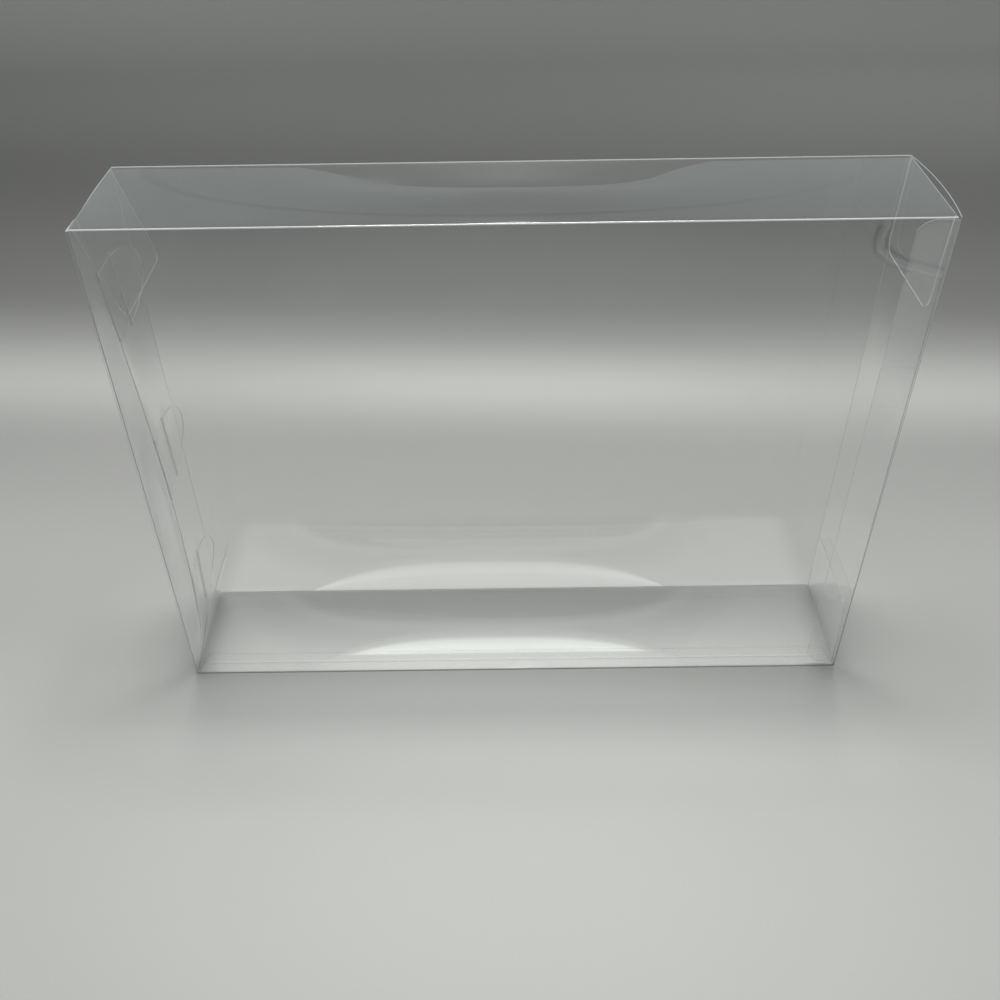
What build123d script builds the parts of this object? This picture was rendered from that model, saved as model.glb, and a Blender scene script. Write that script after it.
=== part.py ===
from build123d import *
import os
from math import asin, cos, degrees, radians, sin

os.makedirs("parts", exist_ok=True)

# Clear protector box folded from one sheet of film, standing on its long narrow side.
# X runs along the width, Y from the front to the back, Z up.  The origin is the middle
# of the footprint.  All sizes are in millimetres.

# The box as it stands, measured over the outside of the film
WIDTH = 390.0
DEPTH = 70.0
HEIGHT = 291.0

# The film, its creases and the air between layers that only touch
FILM = 0.5
CREASE_OUTER = 0.6
CREASE_INNER = CREASE_OUTER - FILM
LAYER_GAP = 0.1
END_TRIM = 0.3
SEAM_GAP = 0.1
OVERLAP = 1.0

# Flap glued along the front of the bottom panel
GLUE_FLAP = 15.0
GLUE_FLAP_TRIM = 4.0

# Left end: an end panel folded from the back, held by tongues on a flap from the front
FRONT_FLAP = 15.0
FRONT_FLAP_CORNER = 4.0
SLIT_FROM_FRONT = 36.0
SLIT_LENGTH = 40.0
SLIT_OPEN = 3 * FILM + LAYER_GAP
TONGUE_HEIGHT = 36.0
TONGUE_REACH = 30.0
TONGUE_RAMP = 2 * FILM
TONGUE_COUNT = 3

# Dust flaps folded from the ends of the top and bottom panels
DUST_LENGTH = 48.0
DUST_INSET = 3.2
DUST_CORNER = 7.0
LEFT_DUST_LEAN = 16.5
RIGHT_DUST_LEAN = 1.5

# Right end: the closure that opens, with its tuck flap inside the front panel
CLOSURE_BOW = 3.0
CLOSURE_GAP = 0.2
TUCK_FLAP = 17.0
TUCK_TRIM = 1.8
TUCK_CORNER = 10.0
TUCK_LEAN_SPARE = 1.5

# Planes of the layers at the two ends
FLAP_X = -WIDTH / 2 + FILM / 2
END_PANEL_X = FLAP_X + FILM + LAYER_GAP
HEAD_X = END_PANEL_X + FILM + LAYER_GAP
TUBE_LEFT = HEAD_X - FILM / 2
CLOSURE_X = WIDTH / 2 - FILM / 2
TUBE_RIGHT = CLOSURE_X - FILM / 2 - CLOSURE_GAP

# Mid-planes of the front and back panels
FRONT_Y = -DEPTH / 2 + FILM / 2
BACK_Y = DEPTH / 2 - FILM / 2
SLIT_Y = -DEPTH / 2 + SLIT_FROM_FRONT
MIDDLE_Z = HEIGHT / 2
TONGUE_PITCH = HEIGHT / TONGUE_COUNT
TONGUE_HEIGHTS = [TONGUE_PITCH * (n + 0.5) for n in range(TONGUE_COUNT)]


def film_section(plane, *points):
    """Section through film bent along the points, with rounded bends and ends."""
    with BuildSketch(plane) as section:
        with BuildLine():
            Polyline(*points)
            offset(amount=FILM / 2, kind=Kind.ARC)
        make_face()
    return section.sketch


def dust_flap(fold_x, inward, lean):
    """Flap that hangs from one end of the top panel, leaning into the box."""
    drop = DUST_LENGTH * cos(radians(lean))
    reach = inward * DUST_LENGTH * sin(radians(lean))
    fold_z = HEIGHT - FILM / 2
    section = film_section(
        Plane.XZ,
        (fold_x + inward * OVERLAP, fold_z),
        (fold_x, fold_z),
        (fold_x + reach, fold_z - drop),
    )
    with BuildPart() as flap:
        extrude(section, amount=DEPTH / 2 - DUST_INSET, both=True)
        with BuildSketch(Plane.YZ) as outline:
            with Locations((0, HEIGHT)):
                Rectangle(
                    DEPTH - 2 * DUST_INSET, drop + FILM, align=(Align.CENTER, Align.MAX)
                )
            fillet(outline.vertices().group_by(Axis.Y)[0], radius=DUST_CORNER)
        extrude(amount=WIDTH, both=True, mode=Mode.INTERSECT)
    return flap.part


# Tube: top, back, bottom and front panels, closed by the glue flap on the bottom panel
with BuildPart() as tube:
    with BuildSketch(Plane.YZ.offset(TUBE_LEFT)):
        with Locations((0, MIDDLE_Z)):
            RectangleRounded(DEPTH, HEIGHT, CREASE_OUTER)
            RectangleRounded(
                DEPTH - 2 * FILM, HEIGHT - 2 * FILM, CREASE_INNER, mode=Mode.SUBTRACT
            )
        with Locations((-DEPTH / 2, FILM)):
            Rectangle(
                FILM + SEAM_GAP, SEAM_GAP, align=(Align.MIN, Align.MIN), mode=Mode.SUBTRACT
            )
    extrude(amount=TUBE_RIGHT - TUBE_LEFT)

with BuildPart() as glue_flap:
    with BuildSketch(Plane.XY.offset(FILM)) as glue_outline:
        with BuildLine():
            Polyline(
                (TUBE_LEFT, -DEPTH / 2 + FILM),
                (TUBE_RIGHT, -DEPTH / 2 + FILM),
                (TUBE_RIGHT - GLUE_FLAP_TRIM, -DEPTH / 2 + GLUE_FLAP),
                (TUBE_LEFT + GLUE_FLAP_TRIM, -DEPTH / 2 + GLUE_FLAP),
                close=True,
            )
        make_face()
    extrude(amount=FILM)

# Flap on the front panel's left edge, folded back over the end panel
front_flap_section = film_section(
    Plane.XY,
    (TUBE_LEFT + OVERLAP, FRONT_Y),
    (FLAP_X, FRONT_Y),
    (FLAP_X, -DEPTH / 2 + FRONT_FLAP),
)
with BuildPart() as front_flap:
    extrude(front_flap_section, amount=HEIGHT)
    with BuildSketch(Plane.YZ) as front_flap_outline:
        with Locations((-DEPTH / 2, MIDDLE_Z)):
            Rectangle(FRONT_FLAP, HEIGHT - 2 * CREASE_OUTER, align=(Align.MIN, Align.CENTER))
        fillet(front_flap_outline.vertices().group_by(Axis.X)[-1], radius=FRONT_FLAP_CORNER)
    extrude(amount=WIDTH, both=True, mode=Mode.INTERSECT)

# Tongue that leaves the front flap, passes the end panel's slit and lies inside it
tongue_section = film_section(
    Plane.XY,
    (FLAP_X, -DEPTH / 2 + FRONT_FLAP - OVERLAP),
    (FLAP_X, SLIT_Y - TONGUE_RAMP / 2),
    (HEAD_X, SLIT_Y + TONGUE_RAMP / 2),
    (HEAD_X, SLIT_Y + TONGUE_REACH),
)
with BuildPart() as tongue:
    extrude(tongue_section, amount=TONGUE_HEIGHT / 2, both=True)
    with BuildSketch(Plane.YZ):
        with Locations((SLIT_Y, 0)):
            Rectangle(SLIT_FROM_FRONT, TONGUE_HEIGHT, align=(Align.MAX, Align.CENTER))
            Ellipse(TONGUE_REACH, TONGUE_HEIGHT / 2)
    extrude(amount=WIDTH, both=True, mode=Mode.INTERSECT)

# End panel on the back panel's left edge, with a slit for each tongue
end_panel_section = film_section(
    Plane.XY,
    (TUBE_LEFT + OVERLAP, BACK_Y),
    (END_PANEL_X, BACK_Y),
    (END_PANEL_X, FRONT_Y + FILM + LAYER_GAP),
)
with BuildPart() as end_panel:
    extrude(end_panel_section, amount=HEIGHT)
    with BuildSketch(Plane.YZ):
        with Locations((0, MIDDLE_Z)):
            Rectangle(DEPTH, HEIGHT - 2 * CREASE_OUTER)
    extrude(amount=WIDTH, both=True, mode=Mode.INTERSECT)
    with Locations(*[(END_PANEL_X, SLIT_Y, z) for z in TONGUE_HEIGHTS]):
        Box(2 * FILM, SLIT_OPEN, SLIT_LENGTH, mode=Mode.SUBTRACT)

# Dust flaps at both ends of the top panel, repeated on the bottom panel
left_dust_flap = dust_flap(TUBE_LEFT + FILM / 2, 1, LEFT_DUST_LEAN)
right_dust_flap = dust_flap(TUBE_RIGHT - FILM / 2, -1, RIGHT_DUST_LEAN)
with BuildPart() as dust_flaps:
    add(left_dust_flap)
    add(right_dust_flap)
    mirror(about=Plane.XY.offset(MIDDLE_Z))

# Everything that is folded and then stays put is one sheet
with BuildPart() as sleeve:
    add(tube.part)
    add(glue_flap.part)
    add(front_flap.part)
    add(end_panel.part)
    add(dust_flaps.part)
    with Locations(*[(0, 0, z) for z in TONGUE_HEIGHTS]):
        add(tongue.part)

# Closure: bowed end panel that swings on the back panel's right edge, with its tuck flap
hinge = Vector(CLOSURE_X, BACK_Y)
tuck_fold = Vector(CLOSURE_X, FRONT_Y + FILM + CLOSURE_GAP)
swing_radius = hinge.Y - tuck_fold.Y
tuck_lean = degrees(asin(TUCK_FLAP / (2 * swing_radius))) + TUCK_LEAN_SPARE
tuck_end = tuck_fold + Vector(
    -TUCK_FLAP * cos(radians(tuck_lean)), TUCK_FLAP * sin(radians(tuck_lean))
)
with BuildPart() as closure:
    with BuildSketch(Plane.XY):
        with BuildLine():
            ThreePointArc(
                hinge, (CLOSURE_X + CLOSURE_BOW, (hinge.Y + tuck_fold.Y) / 2), tuck_fold
            )
            Line(tuck_fold, tuck_end)
            offset(amount=FILM / 2, kind=Kind.ARC)
        make_face()
    extrude(amount=HEIGHT)
    with BuildSketch(Plane.XZ) as closure_outline:
        with Locations((tuck_fold.X - FILM / 2, MIDDLE_Z)):
            Rectangle(
                2 * CLOSURE_BOW + 2 * FILM, HEIGHT - 2 * END_TRIM, align=(Align.MIN, Align.CENTER)
            )
            with BuildSketch(mode=Mode.PRIVATE) as tuck_outline:
                Rectangle(
                    TUCK_FLAP + FILM, HEIGHT - 2 * TUCK_TRIM, align=(Align.MAX, Align.CENTER)
                )
                fillet(tuck_outline.vertices().group_by(Axis.X)[0], radius=TUCK_CORNER)
            add(tuck_outline.sketch)
    extrude(amount=DEPTH, both=True, mode=Mode.INTERSECT)

sleeve.part.label = "sleeve"
closure.part.label = "closure"
export_step(sleeve.part, "parts/sleeve.step")
export_step(closure.part, "parts/closure.step")
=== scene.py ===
import math

import bmesh
import bpy
from mathutils import Matrix, Vector


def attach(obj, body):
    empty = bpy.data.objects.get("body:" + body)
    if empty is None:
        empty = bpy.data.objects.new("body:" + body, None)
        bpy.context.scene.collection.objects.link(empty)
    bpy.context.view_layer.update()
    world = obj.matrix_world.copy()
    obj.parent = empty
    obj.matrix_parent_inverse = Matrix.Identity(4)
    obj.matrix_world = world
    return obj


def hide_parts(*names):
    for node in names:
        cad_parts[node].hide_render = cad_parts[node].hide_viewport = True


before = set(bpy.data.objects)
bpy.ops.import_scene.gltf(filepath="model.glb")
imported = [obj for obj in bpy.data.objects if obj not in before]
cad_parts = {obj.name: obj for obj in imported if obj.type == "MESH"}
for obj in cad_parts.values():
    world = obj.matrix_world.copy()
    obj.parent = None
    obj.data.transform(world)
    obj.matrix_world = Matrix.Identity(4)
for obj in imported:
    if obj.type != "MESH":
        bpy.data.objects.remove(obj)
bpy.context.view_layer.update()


# Sleeve: one sheet of clear film, scored, creased and folded round into a tube, glued along
# the front of its bottom panel.  Its left end is locked by tongues, and dust flaps hang inside
# both ends.  The film is springy, so its long panels crown and the locked end is drawn in.
width, depth, height = 0.390, 0.070, 0.291
film = 0.0005
panel_skin, two_layers, fine_line = 0.0008, 0.0012, 0.0003

# Crowns of the long panels, and where along the box they are full
top_crown, bottom_crown, side_crown = 0.0022, 0.0005, 0.0030
top_bulge_x, top_half_width, top_lean = 0.002, 0.0600, 0.215
side_bulge_x, side_half_width = -0.004, 0.105

# The locked end: how far its layers are drawn in, and where they and the tongues lie
end_draw, end_swell, end_peak = 0.0086, 0.0006, 0.2855
front_flap_x, tongue_heads_x, locked_layers_x, left_end_x = -0.1943, -0.19385, -0.1932, -0.1930
bottom_panel_x, tube_half_length, crease = -0.1935, 0.1945, 0.0001
tongue_root_y, slit_y, tongue_tip_y = -0.020, 0.001, 0.032
tongue_z, tongue_half_height, tongue_spring = [0.0485, 0.1455, 0.2425], 0.0185, 0.0035

# The buckle that the tuck flap pushes into the front panel's top right corner.  Its line and
# its flanks are in millimetres, the line across and down from that corner.
buckle_x, buckle_z, front_panel_y = 0.12, 0.22, -0.0343
buckle_rise, buckle_half_width = 0.0016, 0.0017
buckle_line = [(0.0, 27.5), (9.2, 25.0), (18.3, 22.7), (25.5, 19.2), (31.5, 14.3), (32.8, 9.5),
               (32.5, 5.7), (31.3, 2.3)]
# The buckle's flanks are painted darker as shade: their distance from its line, their width, and how
# far from the right end they are fully dark
flank_off, flank_width, full_shade_past = 2.3, 1.0, 16.5

# The dust flaps, the right end's edges, and the glue flap with its line of glue
dust_flap_x, dust_flap_half_width, dust_flap_length = 0.150, 0.0325, 0.049
right_flap_x, right_flap_z, right_end_x, front_corner_y = 0.1800, 0.24, 0.1925, -0.0340
glue_line_y, glue_flap_edge_y, glue_flap_z = -0.0269, -0.0205, 0.0003


def folded_sheet(part):
    """A copy of a folded sheet's solid with its triangles merged into whole flat faces.
    The narrow ones are its creases and cut edges, which are marked with a 1."""
    bm = bmesh.new()
    bm.from_mesh(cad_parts[part].data)
    bmesh.ops.remove_doubles(bm, verts=bm.verts, dist=0.00002)
    bmesh.ops.dissolve_limit(bm, angle_limit=math.radians(0.2), verts=bm.verts, edges=bm.edges)
    for face in bm.faces:
        round_it = sum(edge.calc_length() for edge in face.edges)
        face.material_index = int(2 * face.calc_area() / round_it < 1.2 * film)
    return bm


def score(bm, axis, start, stop, pitch, keep=lambda middle: True):
    """Lines across the sheet, square to one axis, along which it can bend."""
    normal = Vector([float(axis == letter) for letter in "XYZ"])
    for step in range(round((stop - start) / pitch) + 1):
        faces = [face for face in bm.faces if keep(face.calc_center_median())]
        edges = list({edge for face in faces for edge in face.edges})
        corners = list({corner for face in faces for corner in face.verts})
        bmesh.ops.bisect_plane(
            bm, geom=faces + edges + corners, dist=0.000005,
            plane_co=normal * (start + step * pitch), plane_no=normal
        )


def hump(share):
    """0 at both ends of a span and 1 in its middle."""
    return math.sin(math.pi * min(max(share, 0.0), 1.0))


def ease(share):
    """Smooth step from 0 to 1."""
    share = min(max(share, 0.0), 1.0)
    return share * share * (3 - 2 * share)


def on_tongue(z):
    """Whether a height lies on one of the three tongues."""
    return min(abs(z - middle) for middle in tongue_z) < tongue_half_height


def drawn_in(y, z):
    """How far the locked end is drawn into the box at a place on it: most behind the front
    flap's fold and below mid-height, while the bare panel behind the tongues swells out."""
    up = min(max(z / height, 0.0), 1.0)
    along_height = up ** 0.75 * (1 - up) ** 1.2 / end_peak
    from_front = (y + depth / 2) / depth
    across = ease(from_front / 0.24) * (1 - 0.80 * ease((from_front - 0.20) / 0.75))
    across *= 1 - ease((from_front - 0.93) / 0.07)
    swell = end_swell * ease((up - 0.80) / 0.2) + 0.6 * end_swell * ease((0.14 - up) / 0.14)
    return end_draw * along_height * across - swell * hump((from_front - 0.27) / 0.73)


def near_buckle(x, y, z):
    """Whether a place lies in the front panel's top right corner, where the buckle runs."""
    return y < front_panel_y and x > buckle_x and z > buckle_z


def from_buckle(across, down):
    """Distance in millimetres from the buckle's line, both measured from the top right corner."""
    nearest = 100.0
    for (xa, za), (xb, zb) in zip(buckle_line, buckle_line[1:]):
        run, fall = xb - xa, zb - za
        share = ((across - xa) * run + (down - za) * fall) / (run * run + fall * fall)
        share = min(max(share, 0.0), 1.0)
        nearest = min(nearest, math.hypot(across - xa - share * run, down - za - share * fall))
    return nearest


def buckle_shade_mask(point):
    """How dark the film is painted as shade at a place beside the buckle, 0 to 1: along both flanks of
    its line, weaker near the right end and fading out at the top edge.
    """
    x, y, z = point
    if not near_buckle(x, y, z):
        return 0.0
    across, down = 1000 * (width / 2 - x), 1000 * (height - z)
    flank = math.exp(-(((from_buckle(across, down) - flank_off) / flank_width) ** 2))
    return flank * (1.0 if across > full_shade_past else 0.45) * ease((down - 1.0) / 3.0)


def bend_locked_end(x, y, z):
    """The layers of the left end move into the box, and the tongue heads spring off them."""
    shift = drawn_in(y, z)
    if x > tongue_heads_x and slit_y < y < tongue_tip_y and on_tongue(z):
        shift += tongue_spring * ((y - slit_y) / 0.030) ** 1.3
    return Vector((x + shift, y, z))


def bend_side_panel(x, y, z):
    """The front and back panels bulge outwards, and the front one has the buckle."""
    bulge = math.exp(-(((x - side_bulge_x) / side_half_width) ** 4))
    out = side_crown * bulge * hump(z / height)
    if near_buckle(x, y, z):
        off_line = from_buckle(1000 * (width / 2 - x), 1000 * (height - z))
        ridge = off_line / (1000 * buckle_half_width)
        edge = ease((height - z) / 0.003) * ease((width / 2 - x) / 0.003)
        out += buckle_rise * math.exp(-ridge * ridge) * edge
    return Vector((x, y + math.copysign(out, y), z))


def bend_sleeve(point):
    """Where a point of the flat-panelled sleeve lies in the sprung film."""
    x, y, z = point
    if x < locked_layers_x and abs(y) < depth / 2 - crease and film < z < height - film:
        return bend_locked_end(x, y, z)
    crown = math.exp(-(abs((x - top_bulge_x) / top_half_width) ** 1.5))
    share = (y + depth / 2) / depth
    if z > height - panel_skin:
        forward = top_lean * math.sin(2 * math.pi * share)
        return Vector((x, y, z + top_crown * crown * (hump(share) + forward)))
    if z < two_layers and x > bottom_panel_x:
        return Vector((x, y, z + bottom_crown * crown * hump(share)))
    if abs(y) > depth / 2 - panel_skin and abs(x) < tube_half_length:
        return bend_side_panel(x, y, z)
    return point.copy()


def feed(tree, sockets, values):
    """Each socket takes a plain value or a link from another node's output."""
    for socket, value in zip(sockets, values):
        if isinstance(value, bpy.types.NodeSocket):
            tree.links.new(value, socket)
        else:
            socket.default_value = value


def node(tree, kind, **values):
    """A shader node with its named sockets fed."""
    made = tree.nodes.new(kind)
    feed(tree, [made.inputs[name.replace("_", " ")] for name in values], values.values())
    return made


def maths(tree, operation, *values):
    """One sum over numbers and other nodes' outputs."""
    made = tree.nodes.new("ShaderNodeMath")
    made.operation = operation
    feed(tree, made.inputs, values)
    return made.outputs["Value"]


def mixed(tree, share, first, second, blend="MIX"):
    """A colour between two others, or one multiplied by the other."""
    made = tree.nodes.new("ShaderNodeMix")
    made.data_type = "RGBA"
    made.blend_type = blend
    feed(tree, [made.inputs["Factor"], made.inputs["A"], made.inputs["B"]], (share, first, second))
    return made.outputs["Result"]


def layered(tree, share, first, second):
    """Two shaders, the second one showing by its share."""
    made = tree.nodes.new("ShaderNodeMixShader")
    feed(tree, made.inputs, (share, first, second))
    return made.outputs["Shader"]


def graded(tree, value, steps, blend="EASE"):
    """Tones, grey or coloured, that follow one another as a value rises from 0 to 1."""
    made = node(tree, "ShaderNodeValToRGB", Fac=value)
    ramp = made.color_ramp
    ramp.interpolation = blend
    while len(ramp.elements) < len(steps):
        ramp.elements.new(0.5)
    for element, (where, tone) in zip(ramp.elements, steps):
        element.position = where
        element.color = (tone, tone, tone, 1.0) if isinstance(tone, float) else (*tone, 1.0)
    return made.outputs["Color"]


def places(tree):
    """Where a place lies on its piece: the whole place, then its parts."""
    place = tree.nodes.new("ShaderNodeTexCoord").outputs["Object"]
    parts = node(tree, "ShaderNodeSeparateXYZ", Vector=place)
    return place, parts.outputs["X"], parts.outputs["Y"], parts.outputs["Z"]


def film_marks_group():
    """Soft smears and slow waviness that handling leaves in clear film, and even scuffing."""
    group = bpy.data.node_groups.new("film_marks", "ShaderNodeTree")
    for name, value in (("Smear", 0.02), ("Scuff", 0.0), ("Wave", 0.0006)):
        socket = group.interface.new_socket(name, in_out="INPUT", socket_type="NodeSocketFloat")
        socket.default_value = value
    for name, kind in (("Haze", "Float"), ("Roughness", "Float"), ("Normal", "Vector")):
        group.interface.new_socket(name, in_out="OUTPUT", socket_type="NodeSocket" + kind)
    given = group.nodes.new("NodeGroupInput")
    result = group.nodes.new("NodeGroupOutput")
    place = group.nodes.new("ShaderNodeTexCoord").outputs["Object"]

    smudge = node(group, "ShaderNodeTexNoise", Vector=place, Scale=16.0, Detail=2.0, Roughness=0.6)
    patches = node(
        group, "ShaderNodeMapRange", Value=smudge.outputs["Fac"], From_Min=0.56, From_Max=0.74
    ).outputs["Result"]
    scuff = given.outputs["Scuff"]
    haze = maths(group, "MULTIPLY_ADD", patches, given.outputs["Smear"], scuff)
    matted = maths(group, "MULTIPLY", scuff, 2.5)
    rough = maths(group, "MULTIPLY_ADD", patches, 0.10, matted)

    drawn_out = node(group, "ShaderNodeMapping", Vector=place, Scale=(5.0, 22.0, 22.0))
    swell = node(
        group, "ShaderNodeTexNoise", Vector=drawn_out.outputs["Vector"], Scale=1.0, Detail=0.0
    )
    bump = node(
        group, "ShaderNodeBump", Strength=1.0, Distance=given.outputs["Wave"],
        Height=swell.outputs["Fac"]
    )
    outcome = [result.inputs[name] for name in ("Haze", "Roughness", "Normal")]
    feed(group, outcome, (haze, rough, bump.outputs["Normal"]))
    return group


film_marks = film_marks_group()
film_index = 1.5
clear_tint, painted_bend_shade = (0.983, 0.987, 0.984, 1.0), (0.66, 0.68, 0.68, 1.0)
haze_colour = (0.89, 0.895, 0.88, 1.0)


def shade_beside_buckle(tree):
    """How dark the film is painted as shade beside the buckle, as the piece's own attribute has it."""
    bend_shade = tree.nodes.new("ShaderNodeAttribute")
    bend_shade.attribute_name = "bend_shade"
    return bend_shade.outputs["Fac"]


def shade_round_bulge(tree):
    """A thin dark arc painted as shade where the top panel bends at the edge of its bulge: half an
    ellipse about the middle of the back crease.  It fades towards the right."""
    arc_half_length, arc_reach = 0.178, 0.064
    place, x, _, _ = places(tree)
    rounded = node(
        tree, "ShaderNodeMapping", Vector=place, Location=(0.0, -0.547, 0.0),
        Scale=(1 / arc_half_length, 1 / arc_reach, 0.0)
    )
    from_centre = node(tree, "ShaderNodeVectorMath")
    from_centre.operation = "LENGTH"
    feed(tree, from_centre.inputs, (rounded.outputs["Vector"],))
    halved = maths(tree, "MULTIPLY", from_centre.outputs["Value"], 0.5)
    arc = graded(tree, halved, [(0.480, 0.0), (0.492, 0.36), (0.499, 0.40), (0.508, 0.0)])
    fading = node(
        tree, "ShaderNodeMapRange", Value=x, From_Min=0.06, From_Max=0.14, To_Min=1.0, To_Max=0.25
    )
    return maths(tree, "MULTIPLY", arc, fading.outputs["Result"])


def rubbed_above(tree):
    """Scuffing of the tuck flap, which has rubbed on the front panel over its upper part."""
    _, _, _, z = places(tree)
    upper = node(
        tree, "ShaderNodeMapRange", Value=z, From_Min=0.16, From_Max=0.24, To_Min=0.0, To_Max=0.30
    )
    return upper.outputs["Result"]


# Painted light and shade of the film's edges: a grey white for creases and cut edges, and near black
# for painted shade
edge_colour, pressed_shade_colour = (0.56, 0.57, 0.57, 1.0), (0.12, 0.13, 0.13, 1.0)


def pressed_shade_below(tree):
    """Colour of the front fold's edge, painted darker as shade from 0.27 m down, where it lies tight
    on the sleeve.
    """
    _, _, _, z = places(tree)
    pressed = node(
        tree, "ShaderNodeMapRange", Value=z, From_Min=0.270, From_Max=0.205, To_Min=0.0, To_Max=1.0
    )
    return mixed(tree, pressed.outputs["Result"], edge_colour, pressed_shade_colour)


def film_material(name, smear, wave, scuff=0.0, bend=shade_beside_buckle, edge=None):
    """Clear polyester film with its smears, waves and scuffing, painted darker as shade where the film
    bends, as bend's mask gives it.  With edge, an opacity and a colour, it is the film of a crease or
    of a cut edge, whitened as painted light in place of the light that it catches and bends.  Scuffing
    and an edge's colour are plain values or functions that grade them."""
    material = bpy.data.materials.new(name)
    material.use_nodes = True
    tree = material.node_tree
    tree.nodes.clear()
    marks = tree.nodes.new("ShaderNodeGroup")
    marks.node_tree = film_marks
    scuffing = scuff(tree) if callable(scuff) else scuff
    feed(tree, [marks.inputs[mark] for mark in ("Smear", "Scuff", "Wave")], (smear, scuffing, wave))

    # Painted shade: the film lets less through where the mask says it bends
    passed = mixed(tree, bend(tree), clear_tint, painted_bend_shade)
    through = node(tree, "ShaderNodeBsdfTransparent", Color=passed)
    facing = node(tree, "ShaderNodeBsdfDiffuse", Color=haze_colour)
    behind = node(tree, "ShaderNodeBsdfTranslucent", Color=haze_colour)
    veil = layered(tree, 0.5, facing.outputs["BSDF"], behind.outputs["BSDF"])
    body = layered(tree, marks.outputs["Haze"], through.outputs["BSDF"], veil)
    if edge:
        opacity, colour = edge
        white = colour(tree) if callable(colour) else colour
        lit = node(tree, "ShaderNodeBsdfDiffuse", Color=white)
        lit_through = node(tree, "ShaderNodeBsdfTranslucent", Color=white)
        stressed = layered(tree, 0.5, lit.outputs["BSDF"], lit_through.outputs["BSDF"])
        body = layered(tree, opacity, body, stressed)
        far_face = body
    else:
        free = node(tree, "ShaderNodeBsdfTransparent", Color=(1.0, 1.0, 1.0, 1.0))
        far_face = free.outputs["BSDF"]

    # The sheet's whole mirroring is on the face that a ray enters by, and it leaves freely.
    face = node(tree, "ShaderNodeFresnel", IOR=film_index).outputs["Fac"]
    mirrored = maths(tree, "DIVIDE", maths(tree, "MULTIPLY", face, 2.0), maths(tree, "ADD", face, 1.0))
    gloss = node(
        tree, "ShaderNodeBsdfAnisotropic", Color=(1.0, 1.0, 1.0, 1.0),
        Roughness=marks.outputs["Roughness"], Normal=marks.outputs["Normal"]
    )
    entered = layered(tree, mirrored, body, gloss.outputs["BSDF"])
    side = tree.nodes.new("ShaderNodeNewGeometry")
    surface = layered(tree, side.outputs["Backfacing"], entered, far_face)
    node(tree, "ShaderNodeOutputMaterial", Surface=surface)
    return material


# The top panel's film has the painted dark arc at the edge of its bulge, the others are painted darker
# beside the buckle
clear_film = film_material("clear_film", smear=0.04, wave=0.0004)
bulged_film = film_material("bulged_film", smear=0.04, wave=0.0004, bend=shade_round_bulge)
flap_film = film_material("flap_film", smear=0.06, wave=0.0004, scuff=0.07)
rubbed_film = film_material("rubbed_film", smear=0.04, wave=0.0004, scuff=rubbed_above)


def creased_film(name, opacity, colour):
    """Film of a crease, a cut edge or the glue.  Its whitening is painted light on creases and cut
    edges, and the glue's own colour on the line of glue.
    """
    return film_material(name, smear=0.05, wave=0.0, edge=(opacity, colour))


# Painted light on the edges: grey white on cut edges and creases, a painted highlight of the lamp on
# the top creases and the right dust flap's top edge, painted shade on the front fold's lower part
film_edge = creased_film("film_edge", 0.85, edge_colour)
soft_edge = creased_film("soft_edge", 0.35, (0.72, 0.74, 0.74, 1.0))
top_crease = creased_film("top_crease", 0.92, (0.93, 0.95, 0.95, 1.0))
glue_line = creased_film("glue_line", 0.45, (0.95, 0.96, 0.94, 1.0))
tight_fold = creased_film("tight_fold", 0.88, pressed_shade_below)
finishes = [clear_film, film_edge, bulged_film, soft_edge, top_crease, flap_film, glue_line,
            rubbed_film, tight_fold]


def film_piece(bm, name, finish, bend, bend_shade=lambda point: 0.0):
    """Gives each face of the scored sheet its finish, bends the sheet and makes the piece."""
    for face in bm.faces:
        kind = finish(face.calc_center_median(), narrow=face.material_index == 1)
        face.material_index = finishes.index(kind)
        face.smooth = True
    # Each corner keeps how dark the film is painted as shade there
    shade_layer = bm.verts.layers.float.new("bend_shade")
    for corner in bm.verts:
        corner[shade_layer] = bend_shade(corner.co)
        corner.co = bend(corner.co)
    bm.normal_update()
    for edge in bm.edges:
        edge.smooth = edge.calc_face_angle(0.0) < math.radians(40)
    mesh = bpy.data.meshes.new(name)
    bm.to_mesh(mesh)
    bm.free()
    for film_finish in finishes:
        mesh.materials.append(film_finish)
    piece = bpy.data.objects.new(name, mesh)
    bpy.context.scene.collection.objects.link(piece)
    return piece


def sleeve_finish(middle, narrow):
    """The finish of a face, from where its middle lies.  Narrow faces are creases and cut edges."""
    x, y, z = middle
    in_flap = abs(y) < dust_flap_half_width
    on_glue = panel_skin < z < two_layers and abs(y - glue_line_y) < fine_line
    if x < front_flap_x and abs(y - tongue_root_y) < fine_line and on_tongue(z):
        return film_edge
    if narrow:
        if z > height - panel_skin and abs(y) > depth / 2 - panel_skin:
            return top_crease
        if x > right_flap_x and in_flap and z > right_flap_z:
            return top_crease
        if x > right_end_x:
            return soft_edge if y > front_corner_y else tight_fold
        if on_glue or (glue_flap_z < z < two_layers and glue_flap_edge_y < y < 0.0):
            return glue_line
        return film_edge
    if z > height - panel_skin:
        return bulged_film
    from_nearer_panel = height / 2 - abs(z - height / 2)
    hangs = abs(x) > dust_flap_x and two_layers < from_nearer_panel < dust_flap_length
    if x < left_end_x or (in_flap and hangs):
        return flap_film
    return glue_line if on_glue else clear_film


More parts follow.
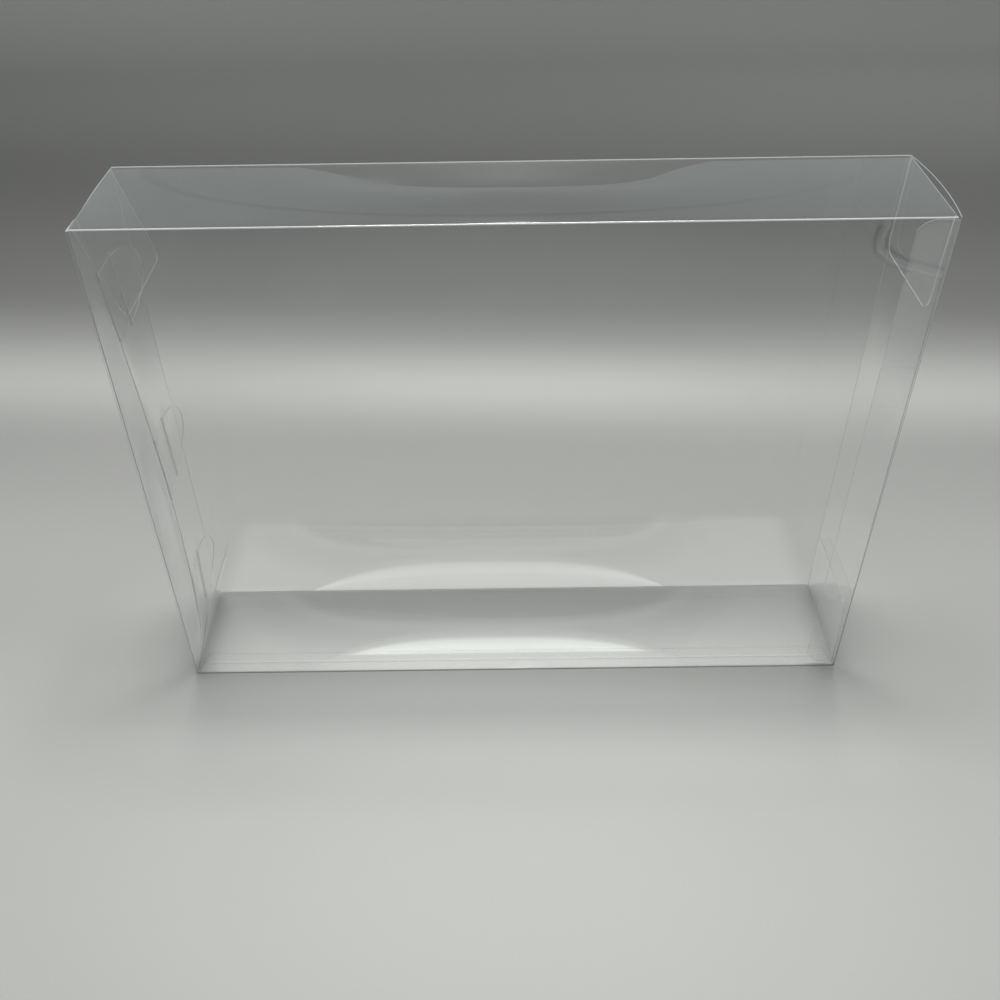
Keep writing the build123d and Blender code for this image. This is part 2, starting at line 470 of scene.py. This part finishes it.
crown_pitch, upright_pitch, buckle_pitch = 0.005, 0.010, 0.0008
corner_x, corner_z = 0.152, 0.2555
sheet_mesh = folded_sheet("sleeve")
score(sheet_mesh, "X", -0.190, 0.190, crown_pitch)
score(sheet_mesh, "Y", -0.030, 0.030, crown_pitch)
score(sheet_mesh, "Z", 0.0055, 0.2855, upright_pitch)
score(sheet_mesh, "Z", corner_z + 0.0010, 0.2895, buckle_pitch,
      lambda c: c.y < front_panel_y and c.x > corner_x)
score(sheet_mesh, "X", corner_x + 0.0015, 0.1935, buckle_pitch,
      lambda c: c.y < front_panel_y and c.z > corner_z)
score(sheet_mesh, "Y", tongue_root_y - fine_line, tongue_root_y + fine_line, 2 * fine_line,
      lambda c: c.x < front_flap_x and on_tongue(c.z))
score(sheet_mesh, "Y", glue_line_y - fine_line, glue_line_y + fine_line, 2 * fine_line,
      lambda c: panel_skin < c.z < two_layers and front_corner_y < c.y < glue_flap_edge_y)
sleeve = film_piece(sheet_mesh, "sleeve_film", sleeve_finish, bend_sleeve, buckle_shade_mask)
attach(sleeve, "sleeve")
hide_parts("sleeve")


# Closure: the right end of the same sheet, which opens.  It swings on its crease at the back,
# bows outwards, and its rounded tuck flap is pushed in behind the front panel.
closure_gape = 0.0012
bow_left_at_foot, bow_gained_above, bow_front_y = 0.40, 0.55, -0.0335
tuck_flap_x, tuck_flap_y, tuck_edge_x, tuck_edge_top = 0.1935, -0.0260, 0.186, 0.276
front_fold_x, front_fold_y, hinge_crease_y = 0.1930, -0.0325, 0.0340


def bend_closure(point):
    """The bow is nearly full at the top and under half of it at the bottom, and the front
    fold stands out at the top."""
    x, y, z = point
    up = z / height
    bowed = max(x - (width / 2 + crease), 0.0) if y > bow_front_y else 0.0
    less = bowed * (bow_left_at_foot + bow_gained_above * up - 1.0)
    gape = closure_gape * (depth / 2 - y) / depth * up ** 1.5
    return Vector((x + less + gape, y, z))


def closure_finish(middle, narrow):
    """The tuck flap is rubbed, its free edge and the hinge crease are soft, and the front fold
    is tight."""
    x, y, z = middle
    if not narrow:
        return rubbed_film if x < tuck_flap_x and y < tuck_flap_y else clear_film
    if (x < tuck_edge_x and z < tuck_edge_top) or y > hinge_crease_y:
        return soft_edge
    return tight_fold if x > front_fold_x and y < front_fold_y else film_edge


flap_mesh = folded_sheet("closure")
score(flap_mesh, "Z", 0.0055, 0.2855, upright_pitch)
closure = film_piece(flap_mesh, "closure_film", closure_finish, bend_closure)
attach(closure, "closure")
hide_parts("closure")


# Table: matt grey card, curved up behind the box into a low sweep without a seam.  The soft arches of
# light that the bulged panels of the box would gather on it are painted into its colour, with painted
# shade beside them.
sweep_left, sweep_front, sweep_length = -1.6, -1.9, 3.2
sweep_y, sweep_radius, sweep_top = 0.27, 0.20, 0.462
sweep_mesh = bmesh.new()
front_edge = sweep_mesh.verts.new((sweep_left, sweep_front, 0.0))
curve_foot = sweep_mesh.verts.new((sweep_left, sweep_y, 0.0))
sweep_mesh.edges.new((front_edge, curve_foot))
curve = bmesh.ops.spin(
    sweep_mesh, geom=[curve_foot], cent=(sweep_left, sweep_y, sweep_radius), axis=(1, 0, 0),
    angle=math.radians(90), steps=24
)
last = [made for made in curve["geom_last"] if isinstance(made, bmesh.types.BMVert)]
rise = bmesh.ops.extrude_vert_indiv(sweep_mesh, verts=last)
bmesh.ops.translate(sweep_mesh, verts=rise["verts"], vec=(0, 0, sweep_top - sweep_radius))
rolled = bmesh.ops.extrude_edge_only(sweep_mesh, edges=sweep_mesh.edges[:])
far_side = [made for made in rolled["geom"] if isinstance(made, bmesh.types.BMVert)]
bmesh.ops.translate(sweep_mesh, verts=far_side, vec=(sweep_length, 0, 0))
bmesh.ops.recalc_face_normals(sweep_mesh, faces=sweep_mesh.faces)
for face in sweep_mesh.faces:
    face.smooth = True
sweep_data = bpy.data.meshes.new("table_sweep")
sweep_mesh.to_mesh(sweep_data)
sweep_mesh.free()
sweep = bpy.data.objects.new("table_sweep", sweep_data)
bpy.context.scene.collection.objects.link(sweep)

# Sizes of the painted light behind each upright panel: its arch, the painted dim bowl beyond it, and
# the strip it lies in
arch_half_width, arch_reach = 0.117, 0.022
bowl_half_width, bowl_middle, bowl_depth, bowl_shift = 0.134, 0.085, 0.046, 0.008
light_depth, light_half_width = 0.09, 0.25


def painted_panel_light_group():
    """Painted light that a bulged upright panel would gather into an arch behind its foot, and painted
    shade in the dim bowl beyond the arch, from which that light is missing."""
    group = bpy.data.node_groups.new("painted_panel_light", "ShaderNodeTree")
    for name, value in (("X", 0.0), ("Y", 0.0), ("Foot", 0.0), ("Middle", 0.0), ("Arch", 1.0),
                        ("Spread", 0.3), ("Inside", 0.0), ("Flap", -1.0)):
        socket = group.interface.new_socket(name, in_out="INPUT", socket_type="NodeSocketFloat")
        socket.default_value = value
    group.interface.new_socket("Light", in_out="OUTPUT", socket_type="NodeSocketFloat")
    given = group.nodes.new("NodeGroupInput").outputs
    result = group.nodes.new("NodeGroupOutput")

    sideways = maths(group, "SUBTRACT", given["X"], given["Middle"])
    behind = maths(group, "SUBTRACT", given["Y"], given["Foot"])
    off_middle = maths(group, "DIVIDE", maths(group, "ABSOLUTE", sideways), arch_half_width)
    left_over = maths(group, "SUBTRACT", 1.0, maths(group, "POWER", off_middle, 3.0))
    reach = maths(group, "MULTIPLY", maths(group, "MAXIMUM", left_over, 0.001), arch_reach)
    beyond = maths(group, "DIVIDE", maths(group, "DIVIDE", behind, reach), 3.0)
    arch = graded(group, beyond, [(0.0, 0.0), (0.02, 0.46), (0.20, 0.70), (0.245, 0.96), (0.30, 1.0),
                                  (0.355, 0.86), (0.445, 0.18), (0.57, 0.0)])
    past_flap = node(
        group, "ShaderNodeMapRange", Value=maths(group, "SUBTRACT", behind, given["Flap"]),
        From_Min=-0.001, From_Max=0.001
    )
    under_flap = maths(group, "MINIMUM", maths(group, "MULTIPLY", reach, 11.0), arch)
    softened = node(
        group, "ShaderNodeMix", Factor=past_flap.outputs["Result"], A=under_flap, B=arch
    )

    off_bowl = maths(group, "ABSOLUTE", maths(group, "ADD", sideways, bowl_shift))
    across = maths(group, "POWER", maths(group, "DIVIDE", off_bowl, bowl_half_width), 4.0)
    before_bowl = maths(group, "SUBTRACT", bowl_middle, behind)
    along = maths(group, "POWER", maths(group, "DIVIDE", before_bowl, bowl_depth), 2.0)
    outside = maths(group, "DIVIDE", maths(group, "ADD", across, along), 3.0)
    bowl = graded(group, outside, [(0.0, 0.0), (0.25, 0.05), (0.36, 0.75), (0.46, 0.55), (1.0, 1.0)])
    strip = graded(group, maths(group, "DIVIDE", behind, light_depth),
                   [(0.0, 0.0), (0.03, 1.0), (0.70, 0.75), (0.86, 0.0)])
    off_box = maths(group, "DIVIDE", maths(group, "ABSOLUTE", given["X"]), light_half_width)
    ends = graded(group, off_box, [(0.0, 1.0), (0.72, 1.0), (0.80, 0.0)])

    spread = maths(group, "MULTIPLY", maths(group, "MULTIPLY", bowl, strip), ends)
    inside = maths(group, "MULTIPLY", strip, ends)
    gathered = maths(group, "MULTIPLY", softened.outputs["Result"], given["Arch"])
    thrown = maths(group, "ADD", maths(group, "MULTIPLY", spread, given["Spread"]), gathered)
    thrown = maths(group, "ADD", thrown, maths(group, "MULTIPLY", inside, given["Inside"]))
    feed(group, [result.inputs["Light"]], [thrown])
    return group


# Tones of the card with painted light and shade on it, by the distance along it and up the sweep: a
# painted shadow across the front, a painted bright band where the sweep begins to rise, painted shade
# where it turns upright and a painted bright band near its top
card_start, card_length, card_skew = -0.5, 1.5, 0.045
card_tones_and_shade = [(-0.50, 0.20), (-0.30, 0.40), (-0.12, 0.437), (-0.02, 0.371), (0.08, 0.349),
              (0.17, 0.300), (0.215, 0.318), (0.275, 0.405), (0.33, 0.303), (0.38, 0.196),
              (0.46, 0.16), (0.57, 0.166), (0.65, 0.290), (0.70, 0.365), (0.80, 0.40),
              (0.86, 0.72), (0.92, 0.46)]
pool_levels = [(-0.30, 0.80), (-0.14, 0.95), (-0.095, 1.35), (-0.055, 1.35), (-0.036, 1.0),
               (0.05, 0.0), (0.20, 0.0), (0.28, 0.8), (0.36, 0.0)]
foot_levels = [(-0.125, 0.0), (-0.085, 0.8), (-0.050, 1.0), (-0.030, 0.9), (0.030, 0.6),
               (0.080, 0.0)]


def on_card(levels):
    """The same levels at shares of the card's length."""
    return [((where - card_start) / card_length, level) for where, level in levels]


card = bpy.data.materials.new("grey_card")
card.use_nodes = True
card_tree = card.node_tree
card_place, card_x, card_y, card_z = places(card_tree)
skewed = maths(card_tree, "MULTIPLY_ADD", card_x, card_skew, card_y)
along_card = node(
    card_tree, "ShaderNodeMapRange", Value=maths(card_tree, "ADD", skewed, card_z),
    From_Min=card_start, From_Max=card_start + card_length
).outputs["Result"]
greenish_tones_and_shade = [(where, (0.99 * tone, tone, 0.96 * tone)) for where, tone in on_card(card_tones_and_shade)]
tones = graded(card_tree, along_card, greenish_tones_and_shade, "CARDINAL")
grain = node(card_tree, "ShaderNodeTexNoise", Vector=card_place, Scale=900.0, Detail=2.0)
grain_tone = node(
    card_tree, "ShaderNodeMapRange", Value=grain.outputs["Fac"], To_Min=0.97, To_Max=1.03
)

# Painted light on the card: a pool of the lamp's glow round the box, a little stronger seen through
# its front, painted light filling the shade around its foot, and the card painted a little lighter
# further from the box
off_centre = maths(card_tree, "ABSOLUTE", card_x)
pool = node(
    card_tree, "ShaderNodeMapRange", Value=off_centre, From_Min=0.0, From_Max=0.34,
    To_Min=0.22, To_Max=0.0
)
box_long = node(
    card_tree, "ShaderNodeMapRange", Value=off_centre, From_Min=0.20, From_Max=0.27,
    To_Min=0.16, To_Max=0.0
)
far_sides = node(
    card_tree, "ShaderNodeMapRange", Value=off_centre, From_Min=0.0, From_Max=0.34,
    To_Min=1.0, To_Max=1.045
)
pool.interpolation_type = far_sides.interpolation_type = "SMOOTHERSTEP"
pool_here = graded(card_tree, along_card, on_card(pool_levels))
before_foot = graded(card_tree, along_card, on_card(foot_levels))
painted_foot_light = maths(card_tree, "MULTIPLY", before_foot, box_long.outputs["Result"])
painted_pool_light = maths(card_tree, "MULTIPLY_ADD", pool.outputs["Result"], pool_here, painted_foot_light)
painted_card_light = maths(card_tree, "ADD", painted_pool_light, far_sides.outputs["Result"])

# Painted light and shade that each upright panel adds; only the front one has the glue flap behind its
# foot
painted_panel_light = painted_panel_light_group()
front_panel = {"Foot": -depth / 2, "Middle": -0.010, "Arch": 1.44, "Spread": 0.45, "Inside": 0.12,
               "Flap": 0.0137}
back_panel = {"Foot": depth / 2, "Middle": -0.016, "Arch": 0.46, "Spread": 0.26, "Inside": -0.06,
              "Flap": -1.0}
for panel in (front_panel, back_panel):
    thrown = card_tree.nodes.new("ShaderNodeGroup")
    thrown.node_tree = painted_panel_light
    given = {"X": card_x, "Y": card_y, **panel}
    feed(card_tree, [thrown.inputs[name] for name in given], given.values())
    painted_card_light = maths(card_tree, "ADD", thrown.outputs["Light"], painted_card_light)

# Painted light on the card, with the card's grain
shade = maths(card_tree, "MULTIPLY", painted_card_light, grain_tone.outputs["Result"])
card_shader = card_tree.nodes["Principled BSDF"]
card_finish = {"Base Color": mixed(card_tree, 1.0, tones, shade, "MULTIPLY"), "Roughness": 0.75,
               "Specular IOR Level": 0.2}
feed(card_tree, [card_shader.inputs[name] for name in card_finish], card_finish.values())
sweep_data.materials.append(card)


# Light: a soft panel above and a little behind the box, a high window beyond it, and a pale
# room all round, paler above, with a cool band at about the height of the eye.
for name, long, wide, power, place in (
    ("overhead_panel", 0.60, 0.30, 14.2, (0.0, 0.25, 1.50)),
    ("high_window", 1.20, 0.60, 4.7, (0.0, 0.57, 1.15)),
):
    lamp = bpy.data.lights.new(name, "AREA")
    lamp.shape = "RECTANGLE"
    lamp.size, lamp.size_y = long, wide
    lamp.energy = power
    hung = bpy.data.objects.new(name, lamp)
    hung.location = place
    bpy.context.scene.collection.objects.link(hung)

room_levels = [(0.0, 0.18), (0.28, 0.34), (0.36, 0.46), (0.40, 0.38), (0.52, 0.30), (0.62, 0.28),
               (0.75, 0.55), (1.0, 0.64)]
cool_from, cool_to, cool_red = 0.25, 0.65, 0.90
room_tones = []
for where, level in room_levels:
    red = cool_red * level if cool_from < where < cool_to else level
    room_tones.append((where, (red, level, level)))
room = bpy.data.worlds.new("room")
bpy.context.scene.world = room
room.use_nodes = True
room_tree = room.node_tree
outlook = room_tree.nodes.new("ShaderNodeTexCoord").outputs["Generated"]
upward = node(room_tree, "ShaderNodeSeparateXYZ", Vector=outlook).outputs["Z"]
backdrop = room_tree.nodes["Background"]
feed(room_tree, [backdrop.inputs["Color"], backdrop.inputs["Strength"]],
     (graded(room_tree, upward, room_tones, "LINEAR"), 1.0))


# Camera: at the photograph's viewing angle, as solved on the box's eight corners.
photo_pixels, focal_pixels, sensor = 1000.0, 1060.0, 36.0
camera_place = (-0.00447, -0.46656, 0.49357)
pitch, yaw, roll = 0.69368, 0.00484, -0.01334
view = bpy.data.cameras.new("camera")
view.sensor_width = sensor
view.lens = focal_pixels / photo_pixels * sensor
view.clip_start, view.clip_end = 0.01, 20.0
camera = bpy.data.objects.new("camera", view)
bpy.context.scene.collection.objects.link(camera)
# The rows are the photograph's right, down and forward, first for a level view along Y
looking = (
    Matrix.Rotation(roll, 3, "Z") @ Matrix.Rotation(yaw, 3, "Y") @ Matrix.Rotation(pitch, 3, "X")
    @ Matrix(((1, 0, 0), (0, 0, -1), (0, 1, 0)))
)
right, down, forward = looking
turned = Matrix((right, -down, -forward)).transposed()
camera.matrix_world = Matrix.Translation(camera_place) @ turned.to_4x4()

scene = bpy.context.scene
scene.camera = camera
scene.view_settings.view_transform = "Standard"
scene.cycles.max_bounces = 12
scene.cycles.diffuse_bounces = 2
scene.cycles.glossy_bounces = 8
scene.cycles.transmission_bounces = 12
scene.cycles.transparent_max_bounces = 48
scene.cycles.caustics_reflective = False
scene.cycles.caustics_refractive = False
